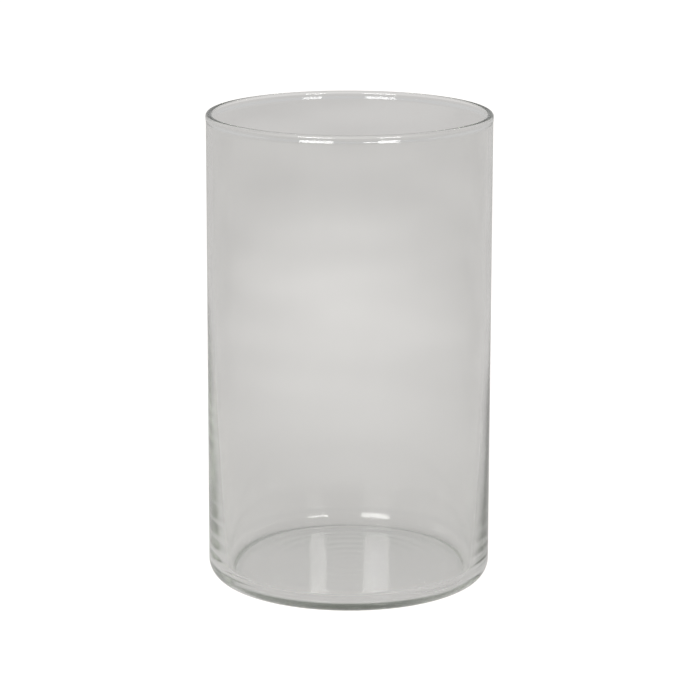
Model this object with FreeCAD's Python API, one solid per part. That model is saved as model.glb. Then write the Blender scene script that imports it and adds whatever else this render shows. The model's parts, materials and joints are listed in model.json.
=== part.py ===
"""Glass cylinder vase: one blown and fire-polished piece of clear glass.

The frame has +Z up. Its origin is on the vase's axis, in the plane that the foot stands on.
Every size is in millimetres. The glass is a half section, drawn in the XZ plane and revolved about Z.
"""

import FreeCAD, Part
import math
import os

# Outside
HEIGHT = 250.0
RIM_DIAMETER = 150.0
WALL_DIAMETER = 149.5
HEEL_RADIUS = 10.0

# Rim: a fire-polished bead, which swells a little past the wall on both sides
BORE_DIAMETER = 143.6
THROAT_DIAMETER = 142.9
NECK_DEPTH = 5.2

# Wall: even near the mouth, thickening towards the foot as blown glass does
TAPER_START_HEIGHT = 150.0
TAPER_RADIUS = 2000.0

# Base: a slightly crowned floor, and a push-up underneath, so that the vase stands on a ring
FLOOR_CROWN_HEIGHT = 5.5
FLOOR_CROWN_RADIUS = 4000.0
FLOOR_CORNER_RADIUS = 8.0
FOOT_RING_WIDTH = 4.0
PUSH_UP_HEIGHT = 1.2
PUSH_UP_CORNER_RADIUS = 8.0

OUTER_RADIUS = WALL_DIAMETER / 2
BORE_RADIUS = BORE_DIAMETER / 2
RING_OUTSIDE = OUTER_RADIUS - HEEL_RADIUS
RING_INSIDE = RING_OUTSIDE - FOOT_RING_WIDTH
NECK_HEIGHT = HEIGHT - NECK_DEPTH


def point(radius, height):
    """A point of the half section."""
    return FreeCAD.Vector(radius, 0, height)


def line(start, end):
    return Part.LineSegment(start, end).toShape()


def arc(centre, start, end):
    """The shorter arc about a centre, from one point to another."""
    middle = (start + end) / 2 - centre
    middle.normalize()
    return Part.Arc(start, centre + middle * (start - centre).Length, end).toShape()


def towards(start, end, distance):
    """The point at that distance from start, on the ray through end."""
    step = end - start
    step.normalize()
    return start + step * distance


def outer_meeting(centre_a, radius_a, centre_b, radius_b):
    """Where two circles meet, on the side away from the axis."""
    apart = centre_b - centre_a
    distance = apart.Length
    along = (distance**2 + radius_a**2 - radius_b**2) / (2 * distance)
    across = math.sqrt(radius_a**2 - along**2)
    sideways = FreeCAD.Vector(-apart.z, 0, apart.x) / distance
    foot = towards(centre_a, centre_b, along)
    return max(foot + sideways * across, foot - sideways * across, key=lambda p: p.x)


def underside():
    """Edges from the axis out to the wall: push-up dome, its corner, standing ring and heel."""
    corner_centre = point(RING_INSIDE, PUSH_UP_CORNER_RADIUS)
    # This radius makes the dome touch the corner's circle.
    dome_radius = RING_INSIDE**2 / (2 * PUSH_UP_HEIGHT) + PUSH_UP_HEIGHT / 2 - PUSH_UP_CORNER_RADIUS
    dome_centre = point(0, PUSH_UP_HEIGHT - dome_radius)
    dome_top = point(0, PUSH_UP_HEIGHT)
    dome_edge = towards(dome_centre, corner_centre, dome_radius)
    ring_start = point(RING_INSIDE, 0)
    ring_end = point(RING_OUTSIDE, 0)
    heel_top = point(OUTER_RADIUS, HEEL_RADIUS)
    return [
        arc(dome_centre, dome_top, dome_edge),
        arc(corner_centre, dome_edge, ring_start),
        line(ring_start, ring_end),
        arc(point(RING_OUTSIDE, HEEL_RADIUS), ring_end, heel_top),
    ]


def swell(lower, upper):
    """Two equal arcs in an S, upright at both ends, from one point up to the other."""
    rise = upper.z - lower.z
    step = upper.x - lower.x
    radius = (rise**2 + step**2) / (4 * step)
    middle = (lower + upper) / 2
    return [
        arc(point(lower.x + radius, lower.z), lower, middle),
        arc(point(upper.x - radius, upper.z), middle, upper),
    ]


def rim():
    """The outer wall, the bead's swelling sides and round top, and the straight bore below it."""
    rim_radius = RIM_DIAMETER / 2
    throat_radius = THROAT_DIAMETER / 2
    round_radius = (rim_radius - throat_radius) / 2
    widest = HEIGHT - round_radius
    outer_neck = point(OUTER_RADIUS, NECK_HEIGHT)
    inner_neck = point(BORE_RADIUS, NECK_HEIGHT)
    outer_widest = point(rim_radius, widest)
    inner_widest = point(throat_radius, widest)
    crest = point(throat_radius + round_radius, HEIGHT)
    return (
        [line(point(OUTER_RADIUS, HEEL_RADIUS), outer_neck)]
        + swell(outer_neck, outer_widest)
        + [Part.Arc(outer_widest, crest, inner_widest).toShape()]
        + swell(inner_neck, inner_widest)
        + [line(inner_neck, point(BORE_RADIUS, TAPER_START_HEIGHT))]
    )


def inside():
    """The thickening wall, the floor's corner and the crowned floor, in to the axis."""
    taper_centre = point(BORE_RADIUS - TAPER_RADIUS, TAPER_START_HEIGHT)
    crown_centre = point(0, FLOOR_CROWN_HEIGHT - FLOOR_CROWN_RADIUS)
    corner_centre = outer_meeting(
        crown_centre,
        FLOOR_CROWN_RADIUS + FLOOR_CORNER_RADIUS,
        taper_centre,
        TAPER_RADIUS - FLOOR_CORNER_RADIUS,
    )
    wall_end = towards(taper_centre, corner_centre, TAPER_RADIUS)
    floor_edge = towards(crown_centre, corner_centre, FLOOR_CROWN_RADIUS)
    floor_centre = point(0, FLOOR_CROWN_HEIGHT)
    print(f"wall at the floor's corner {OUTER_RADIUS - wall_end.x:.2f} mm thick")
    print(f"floor edge at radius {floor_edge.x:.2f} mm, {floor_edge.z:.2f} mm up")
    return [
        arc(taper_centre, point(BORE_RADIUS, TAPER_START_HEIGHT), wall_end),
        arc(corner_centre, wall_end, floor_edge),
        arc(crown_centre, floor_edge, floor_centre),
        line(floor_centre, point(0, PUSH_UP_HEIGHT)),
    ]


def glass_vase():
    """The whole vase, which is one solid of glass."""
    section = Part.Face(Part.Wire(Part.__sortEdges__(underside() + rim() + inside())))
    return section.revolve(FreeCAD.Vector(0, 0, 0), FreeCAD.Vector(0, 0, 1), 360)


def main():
    os.makedirs("parts", exist_ok=True)
    vase = glass_vase()
    print(f"{vase.ShapeType}, valid {vase.isValid()}, glass {vase.Volume / 1000:.1f} cm3")
    vase.exportStep("parts/glass_vase.step")


main()
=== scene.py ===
"""Looks of the glass cylinder vase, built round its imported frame. Metres, +Z up, the vase's axis on Z."""

import json
import math

import bpy
import numpy as np
from mathutils import Matrix, Vector, noise


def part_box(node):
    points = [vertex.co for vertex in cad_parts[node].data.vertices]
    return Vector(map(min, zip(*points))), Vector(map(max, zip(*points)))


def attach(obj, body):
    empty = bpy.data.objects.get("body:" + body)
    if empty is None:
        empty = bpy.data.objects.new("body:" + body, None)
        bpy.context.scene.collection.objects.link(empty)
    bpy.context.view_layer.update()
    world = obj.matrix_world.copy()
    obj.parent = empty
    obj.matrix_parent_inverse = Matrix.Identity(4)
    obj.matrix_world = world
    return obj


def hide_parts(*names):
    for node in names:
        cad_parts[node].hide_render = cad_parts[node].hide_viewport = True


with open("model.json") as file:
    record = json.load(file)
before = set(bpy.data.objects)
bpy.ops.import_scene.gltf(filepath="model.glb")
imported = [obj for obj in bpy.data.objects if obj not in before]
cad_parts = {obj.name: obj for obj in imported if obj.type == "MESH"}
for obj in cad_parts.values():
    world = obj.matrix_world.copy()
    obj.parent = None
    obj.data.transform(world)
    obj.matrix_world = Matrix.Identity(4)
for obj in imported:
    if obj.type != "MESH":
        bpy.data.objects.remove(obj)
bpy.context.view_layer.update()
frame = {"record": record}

MOUNTS = {mount["name"]: mount for mount in frame["record"]["mounts"]}
MM = 0.001

# The vase's section, as in the CAD part
BEAD_OUTWARD = 0.25 * MM
BEAD_INWARD = 0.35 * MM
NECK_DEPTH = 5.2 * MM
RIM_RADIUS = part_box("glass_vase")[1].x
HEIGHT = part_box("glass_vase")[1].z
OUTER_RADIUS = RIM_RADIUS - BEAD_OUTWARD
BORE_RADIUS = MOUNTS["mouth"]["dims"]["r_mm"] * MM
THROAT_RADIUS = BORE_RADIUS - BEAD_INWARD
NECK_HEIGHT = HEIGHT - NECK_DEPTH
TAPER_START_HEIGHT = NECK_HEIGHT - MOUNTS["mouth"]["dims"]["length_mm"] * MM
TAPER_RADIUS = 2000 * MM
FLOOR_CROWN_HEIGHT = 5.5 * MM
FLOOR_CROWN_RADIUS = 4000 * MM
FLOOR_CORNER_RADIUS = 8 * MM
HEEL_RADIUS = 10 * MM
FOOT_RING_WIDTH = 4 * MM
PUSH_UP_HEIGHT = 1.2 * MM
PUSH_UP_CORNER_RADIUS = 8 * MM
RING_OUTSIDE = OUTER_RADIUS - HEEL_RADIUS
RING_INSIDE = RING_OUTSIDE - FOOT_RING_WIDTH

# How many flat sides stand in for a full turn
SEGMENTS = 240

# How uneven the glass is: a cavity off centre towards the foot
CAVITY_SHIFT = 0.6 * MM

# Slow waves in the wall, fading out near the axis
OUTER_WAVE = 0.12 * MM / 4
INNER_WAVE = 1.2 * 0.12 * MM
WAVES_ROUND = 2.2
WAVE_LENGTH = 70 * MM
AXIS_FADE = 20 * MM

# Fine rings in the base, bent by a slow drift and fading out towards the foot ring
RIPPLE = 0.008 * MM
RIPPLE_LENGTH = 8.5 * MM
DRIFT_LENGTH = 30 * MM
DRIFT_BEND = 2.5
RING_SHARE = 0.6
DRIFT_SHARE = 1.5
RING_FADE = 12 * MM

# Where in the noise each surface's unevenness is read
OUTSIDE_SEED = 3.1
INSIDE_SEED = 17.7
FLOOR_SEED = 5.3
UNDERSIDE_SEED = 11.9

# Brightness of the stage: white straight from the camera, grey to every other ray
FLOOR_SEEN = 1.2
FLOOR_WARMTH = (1.02, 1.0, 0.985, 1)
FLOOR_THROUGH_GLASS = 0.62
CLOUDS = (0.94 * FLOOR_THROUGH_GLASS, 1.04 * FLOOR_THROUGH_GLASS)
CLOUD_SCALE = 5.0
# A painted pool of light: the floor's grey glow is brightened in a round patch behind the vase
PAINTED_LIGHT_POOL_GAIN = 0.19
PAINTED_LIGHT_POOL_CENTRE = (-0.01, 0.63, 0)
PAINTED_LIGHT_POOL_REACH = (0.16, 0.6, 1)
PAINT_SHARE = 0.15
FLOOR_REACH = 6.0
FLOOR_GAP = 0.05 * MM
WORLD_SEEN = 1
BACKDROP = 0.6
DARK_SIDE = 0.3
DARK_SIDE_TILT = math.radians(50)
DARKENING = (0.1, 0.7)
NOISE_RANGE = (0.3, 0.7)

# The glass: its tint at the surface and in depth, and how unevenly it is polished
SURFACE_TINT = (0.97, 0.97, 0.965, 1)
TINT = (0.80, 0.815, 0.785, 1)
TINT_DENSITY = 18.0
POLISH = (0.03, 0.06)
POLISH_SCALE = 18.0
BOUNCES = 128

# The softboxes, set so that the highlights lie where the photograph has them
LAMP_DISTANCE = 1.6
LAMP_ELEVATION = math.radians(30.5)
LAMP_HEIGHT = 0.6

# The camera, fitted to the vase's outline in the photograph
CAMERA_DISTANCE = 1.693
CAMERA_ELEVATION = math.radians(13.3)
CAMERA_ROLL = 0.0022
LENS_MM = 164.7
SHIFT_X = 0.0013
SHIFT_Y = -0.0055


def eased(start, end, count):
    """Numbers from start to end, gathered towards both ends."""
    turns = np.linspace(0, math.pi, count)
    return start + (end - start) * (1 - np.cos(turns)) / 2


def arc(centre, radius, start, end, count):
    """Points on an arc, as (radius from the axis, height); angles run from the outward direction up."""
    angles = np.linspace(start, end, count)
    return [(centre[0] + radius * math.cos(a), centre[1] + radius * math.sin(a)) for a in angles]


def underside():
    """From the axis out to the wall: push-up dome, its corner, foot ring and heel."""
    dome_radius = RING_INSIDE**2 / (2 * PUSH_UP_HEIGHT) + PUSH_UP_HEIGHT / 2 - PUSH_UP_CORNER_RADIUS
    dome_depth = dome_radius - PUSH_UP_HEIGHT + PUSH_UP_CORNER_RADIUS
    lean = math.atan2(dome_depth, RING_INSIDE)
    dome_edge = dome_radius * math.cos(lean)
    dome = [
        (r, PUSH_UP_HEIGHT - dome_radius + math.sqrt(dome_radius**2 - r**2))
        for r in np.linspace(0, dome_edge, 60)
    ]
    corner_centre = (RING_INSIDE, PUSH_UP_CORNER_RADIUS)
    corner = arc(corner_centre, PUSH_UP_CORNER_RADIUS, lean - math.pi, -math.pi / 2, 8)
    heel = arc((RING_OUTSIDE, HEEL_RADIUS), HEEL_RADIUS, -math.pi / 2, 0, 24)
    return dome + corner[1:] + heel


def swell(lower, upper):
    """Two equal arcs in an S, upright at both ends, from one point up to the other."""
    rise = upper[1] - lower[1]
    step = upper[0] - lower[0]
    radius = (rise**2 + step**2) / (4 * abs(step))
    half_turn = math.asin(rise / 2 / radius)
    side = math.copysign(1, step)
    moves = [
        (side * radius * (1 - math.cos(a)), radius * math.sin(a))
        for a in np.linspace(0, half_turn, 8)
    ]
    first = [(lower[0] + across, lower[1] + up) for across, up in moves]
    second = [(upper[0] - across, upper[1] - up) for across, up in moves]
    return first + second[::-1][1:]


def wall_and_rim():
    """Up the outside, over the rim's bead and down the straight bore."""
    round_radius = (RIM_RADIUS - THROAT_RADIUS) / 2
    widest = HEIGHT - round_radius
    outside = [(OUTER_RADIUS, z) for z in eased(HEEL_RADIUS, NECK_HEIGHT, 70)]
    outer_swell = swell((OUTER_RADIUS, NECK_HEIGHT), (RIM_RADIUS, widest))
    top = arc((THROAT_RADIUS + round_radius, widest), round_radius, 0, math.pi, 25)
    inner_swell = swell((BORE_RADIUS, NECK_HEIGHT), (THROAT_RADIUS, widest))
    bore = [(BORE_RADIUS, z) for z in eased(NECK_HEIGHT, TAPER_START_HEIGHT, 40)]
    return outside[1:] + outer_swell[1:] + top[1:] + inner_swell[::-1][1:] + bore[1:]


def inside():
    """The thickening wall, the floor's corner and the crowned floor, in to the axis."""
    taper_centre = (BORE_RADIUS - TAPER_RADIUS, TAPER_START_HEIGHT)
    crown_centre = (0, FLOOR_CROWN_HEIGHT - FLOOR_CROWN_RADIUS)
    corner_centre = outer_meeting(
        crown_centre,
        FLOOR_CROWN_RADIUS + FLOOR_CORNER_RADIUS,
        taper_centre,
        TAPER_RADIUS - FLOOR_CORNER_RADIUS,
    )
    wall_end = angle_from(taper_centre, corner_centre)
    floor_edge = angle_from(crown_centre, corner_centre)
    taper = arc(taper_centre, TAPER_RADIUS, 0, wall_end, 50)
    corner = arc(corner_centre, FLOOR_CORNER_RADIUS, wall_end, floor_edge - math.pi, 24)
    floor = arc(crown_centre, FLOOR_CROWN_RADIUS, floor_edge, math.pi / 2, 80)
    return taper[1:] + corner[1:] + floor[1:]


def angle_from(centre, target):
    return math.atan2(target[1] - centre[1], target[0] - centre[0])


def outer_meeting(centre_a, radius_a, centre_b, radius_b):
    """Where two circles meet, on the side away from the axis."""
    across = (centre_b[0] - centre_a[0], centre_b[1] - centre_a[1])
    distance = math.hypot(*across)
    along = (distance**2 + radius_a**2 - radius_b**2) / (2 * distance)
    sideways = math.sqrt(radius_a**2 - along**2)
    unit = (across[0] / distance, across[1] / distance)
    foot = (centre_a[0] + unit[0] * along, centre_a[1] + unit[1] * along)
    meetings = [(foot[0] - s * unit[1] * sideways, foot[1] + s * unit[0] * sideways) for s in (1, -1)]
    return max(meetings)


def wander(turn, height, seed):
    """Slow unevenness from -1 to 1, longer up the wall than round it."""
    across = (math.cos(turn) * WAVES_ROUND, math.sin(turn) * WAVES_ROUND)
    return noise.noise(Vector((*across, height / WAVE_LENGTH + seed)))


def ripple(radius, turn, seed):
    """Rings in the base, broken up by slow unevenness."""
    reach = radius / DRIFT_LENGTH
    drift = noise.noise(Vector((reach * math.cos(turn), reach * math.sin(turn), seed)))
    rings = math.sin(2 * math.pi * radius / RIPPLE_LENGTH + DRIFT_BEND * drift + seed)
    return rings * RING_SHARE + drift * DRIFT_SHARE


def uneven(radius, turn, height):
    """A point of the section, moved a little. The outside only moves inwards, to stay in the CAD's box."""
    heel = height < HEEL_RADIUS and radius > RING_OUTSIDE
    outness = 1 if heel else min(1, max(0, (radius - BORE_RADIUS) / (OUTER_RADIUS - BORE_RADIUS)))
    off_axis = min(1, radius / AXIS_FADE)
    outer = -OUTER_WAVE * (1 + wander(turn, height, OUTSIDE_SEED))
    inner = INNER_WAVE * wander(turn, height, INSIDE_SEED)
    moved = radius + (outness * outer + (1 - outness) * inner) * off_axis
    sideways = 0
    if height > 2 * PUSH_UP_HEIGHT:
        sideways = CAVITY_SHIFT * (1 - outness) * max(0, 1 - height / TAPER_START_HEIGHT) * off_axis
    lift = 0
    if height < FLOOR_CROWN_HEIGHT + MM and radius < RING_INSIDE:
        edge = min(1, (RING_INSIDE - radius) / RING_FADE)
        fade = edge * edge * (3 - 2 * edge)
        seed = FLOOR_SEED if height > FLOOR_CROWN_HEIGHT / 2 else UNDERSIDE_SEED
        lift = RIPPLE * ripple(radius, turn, seed) * fade
    return (moved * math.cos(turn) + sideways, moved * math.sin(turn), height + lift)


def lathe(name, section):
    """A closed mesh: the section's first and last points lie on the axis, and are the two poles."""
    rings = section[1:-1]
    turns = [2 * math.pi * i / SEGMENTS for i in range(SEGMENTS)]
    points = [uneven(r, t, z) for r, z in rings for t in turns]
    low_pole = len(points)
    points += [(0, 0, section[0][1]), (0, 0, section[-1][1])]
    faces = []
    for i in range(SEGMENTS):
        j = (i + 1) % SEGMENTS
        for ring in range(0, (len(rings) - 1) * SEGMENTS, SEGMENTS):
            faces.append((ring + i, ring + j, ring + SEGMENTS + j, ring + SEGMENTS + i))
        last = (len(rings) - 1) * SEGMENTS
        faces.append((low_pole, j, i))
        faces.append((low_pole + 1, last + i, last + j))
    mesh = bpy.data.meshes.new(name)
    mesh.from_pydata(points, [], faces)
    mesh.shade_smooth()
    piece = bpy.data.objects.new(name, mesh)
    bpy.context.scene.collection.objects.link(piece)
    return piece


def node_material(name):
    material = bpy.data.materials.new(name)
    material.use_nodes = True
    material.node_tree.nodes.clear()
    return material, material.node_tree.nodes, material.node_tree.links


def spread(nodes, links, source, source_range, result_range):
    """A smooth step: the source's range, eased on to the result's range."""
    level = nodes.new("ShaderNodeMapRange")
    level.interpolation_type = "SMOOTHSTEP"
    level.inputs["From Min"].default_value = source_range[0]
    level.inputs["From Max"].default_value = source_range[1]
    level.inputs["To Min"].default_value = result_range[0]
    level.inputs["To Max"].default_value = result_range[1]
    links.new(source, level.inputs["Value"])
    return level.outputs["Result"]


def unless_seen(nodes, links, hidden, seen):
    """The seen value straight from the camera, and the hidden one to every other ray."""
    path = nodes.new("ShaderNodeLightPath")
    choice = nodes.new("ShaderNodeMix")
    choice.inputs["B"].default_value = seen
    links.new(path.outputs["Is Camera Ray"], choice.inputs["Factor"])
    links.new(hidden, choice.inputs["A"])
    return choice.outputs["Result"]


def glass_material():
    """Clear glass, faintly grey-green where thick, and polished unevenly."""
    material, nodes, links = node_material("clear_glass")
    output = nodes.new("ShaderNodeOutputMaterial")
    glass = nodes.new("ShaderNodeBsdfPrincipled")
    glass.inputs["Base Color"].default_value = SURFACE_TINT
    glass.inputs["IOR"].default_value = 1.52
    glass.inputs["Transmission Weight"].default_value = 1.0
    place = nodes.new("ShaderNodeTexCoord")
    haze = nodes.new("ShaderNodeTexNoise")
    haze.inputs["Scale"].default_value = POLISH_SCALE
    haze.inputs["Detail"].default_value = 3.0
    links.new(place.outputs["Object"], haze.inputs["Vector"])
    polish = spread(nodes, links, haze.outputs["Fac"], NOISE_RANGE, POLISH)
    links.new(polish, glass.inputs["Roughness"])
    links.new(glass.outputs["BSDF"], output.inputs["Surface"])
    absorption = nodes.new("ShaderNodeVolumeAbsorption")
    absorption.inputs["Color"].default_value = TINT
    absorption.inputs["Density"].default_value = TINT_DENSITY
    links.new(absorption.outputs["Volume"], output.inputs["Volume"])
    return material


def floor_glow(nodes, links):
    """Strength of the floor's glow: white straight from the camera, else grey with a painted pool of light.
    """
    place = nodes.new("ShaderNodeTexCoord")
    # The painted pool of light, a round brightening of the glow behind the vase
    painted_light_pool_place = nodes.new("ShaderNodeMapping")
    painted_light_pool_place.vector_type = "TEXTURE"
    painted_light_pool_place.inputs["Location"].default_value = PAINTED_LIGHT_POOL_CENTRE
    painted_light_pool_place.inputs["Scale"].default_value = PAINTED_LIGHT_POOL_REACH
    painted_light_pool = nodes.new("ShaderNodeTexGradient")
    painted_light_pool.gradient_type = "SPHERICAL"
    links.new(place.outputs["Object"], painted_light_pool_place.inputs["Vector"])
    links.new(painted_light_pool_place.outputs["Vector"], painted_light_pool.inputs["Vector"])
    cloud = nodes.new("ShaderNodeTexNoise")
    cloud.inputs["Scale"].default_value = CLOUD_SCALE
    cloud.inputs["Detail"].default_value = 1.0
    links.new(place.outputs["Object"], cloud.inputs["Vector"])
    base = spread(nodes, links, cloud.outputs["Fac"], NOISE_RANGE, CLOUDS)
    lit = nodes.new("ShaderNodeMath")
    lit.operation = "MULTIPLY_ADD"
    lit.inputs[1].default_value = PAINTED_LIGHT_POOL_GAIN
    links.new(painted_light_pool.outputs["Fac"], lit.inputs[0])
    links.new(base, lit.inputs[2])
    return unless_seen(nodes, links, lit.outputs["Value"], FLOOR_SEEN)


def floor_material():
    material, nodes, links = node_material("pale_floor")
    output = nodes.new("ShaderNodeOutputMaterial")
    glow = nodes.new("ShaderNodeEmission")
    glow.inputs["Color"].default_value = FLOOR_WARMTH
    links.new(floor_glow(nodes, links), glow.inputs["Strength"])
    paint = nodes.new("ShaderNodeBsdfDiffuse")
    paint.inputs["Color"].default_value = (0.9, 0.9, 0.9, 1)
    mix = nodes.new("ShaderNodeMixShader")
    mix.inputs["Fac"].default_value = PAINT_SHARE
    links.new(glow.outputs["Emission"], mix.inputs[1])
    links.new(paint.outputs["BSDF"], mix.inputs[2])
    links.new(mix.outputs["Shader"], output.inputs["Surface"])
    return material


def make_floor():
    mesh = bpy.data.meshes.new("floor")
    corners = [(x * FLOOR_REACH, y * FLOOR_REACH, 0) for x, y in ((-1, -1), (1, -1), (1, 1), (-1, 1))]
    mesh.from_pydata(corners, [], [(0, 1, 2, 3)])
    floor = bpy.data.objects.new("floor", mesh)
    floor.location.z = -FLOOR_GAP
    mesh.materials.append(floor_material())
    bpy.context.scene.collection.objects.link(floor)


def softbox(name, azimuth_degrees, width, power):
    """A rectangular light that faces the vase's middle; azimuth 0 is the camera's side, + to the right."""
    azimuth = math.radians(azimuth_degrees)
    light = bpy.data.lights.new(name, "AREA")
    light.shape = "RECTANGLE"
    light.size = width
    light.size_y = LAMP_HEIGHT
    light.energy = power
    lamp = bpy.data.objects.new(name, light)
    direction = Vector((
        math.sin(azimuth) * math.cos(LAMP_ELEVATION),
        -math.cos(azimuth) * math.cos(LAMP_ELEVATION),
        math.sin(LAMP_ELEVATION),
    ))
    lamp.location = Vector((0, 0, HEIGHT / 2)) + direction * LAMP_DISTANCE
    lamp.rotation_euler = direction.to_track_quat("Z", "Y").to_euler()
    bpy.context.scene.collection.objects.link(lamp)


def make_world():
    """White straight from the camera; to other rays pale behind the vase, darker overhead and in front."""
    world = bpy.data.worlds.new("studio")
    world.use_nodes = True
    nodes = world.node_tree.nodes
    links = world.node_tree.links
    direction = nodes.new("ShaderNodeTexCoord")
    facing = nodes.new("ShaderNodeVectorMath")
    facing.operation = "DOT_PRODUCT"
    facing.inputs[1].default_value = (0, -math.cos(DARK_SIDE_TILT), math.sin(DARK_SIDE_TILT))
    links.new(direction.outputs["Generated"], facing.inputs[0])
    tone = spread(nodes, links, facing.outputs["Value"], DARKENING, (BACKDROP, DARK_SIDE))
    nodes["Background"].inputs["Color"].default_value = (1, 1, 1, 1)
    links.new(unless_seen(nodes, links, tone, WORLD_SEEN), nodes["Background"].inputs["Strength"])
    bpy.context.scene.world = world


def make_camera():
    data = bpy.data.cameras.new("camera")
    data.lens = LENS_MM
    data.sensor_width = 36
    data.shift_x = SHIFT_X
    data.shift_y = SHIFT_Y
    camera = bpy.data.objects.new("camera", data)
    back = Vector((0, -math.cos(CAMERA_ELEVATION), math.sin(CAMERA_ELEVATION)))
    camera.matrix_world = (
        Matrix.Translation(Vector((0, 0, HEIGHT / 2)) + back * CAMERA_DISTANCE)
        @ back.to_track_quat("Z", "Y").to_matrix().to_4x4()
        @ Matrix.Rotation(CAMERA_ROLL, 4, "Z")
    )
    bpy.context.scene.collection.objects.link(camera)
    bpy.context.scene.camera = camera


def make_vase():
    vase = lathe("vase_glass", underside() + wall_and_rim() + inside())
    vase.data.materials.append(glass_material())
    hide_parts("glass_vase")
    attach(vase, "root")


def let_light_through():
    """Light crosses the thick base and runs along the wall with many reflections, which all count."""
    cycles = bpy.context.scene.cycles
    cycles.max_bounces = BOUNCES
    cycles.transmission_bounces = BOUNCES
    cycles.glossy_bounces = BOUNCES


bpy.context.scene.view_settings.view_transform = "Standard"
let_light_through()
make_camera()
make_world()
make_floor()
softbox("softbox_left", azimuth_degrees=-27.5, width=0.71, power=14)
softbox("softbox_right", azimuth_degrees=33, width=0.434, power=8)
make_vase()
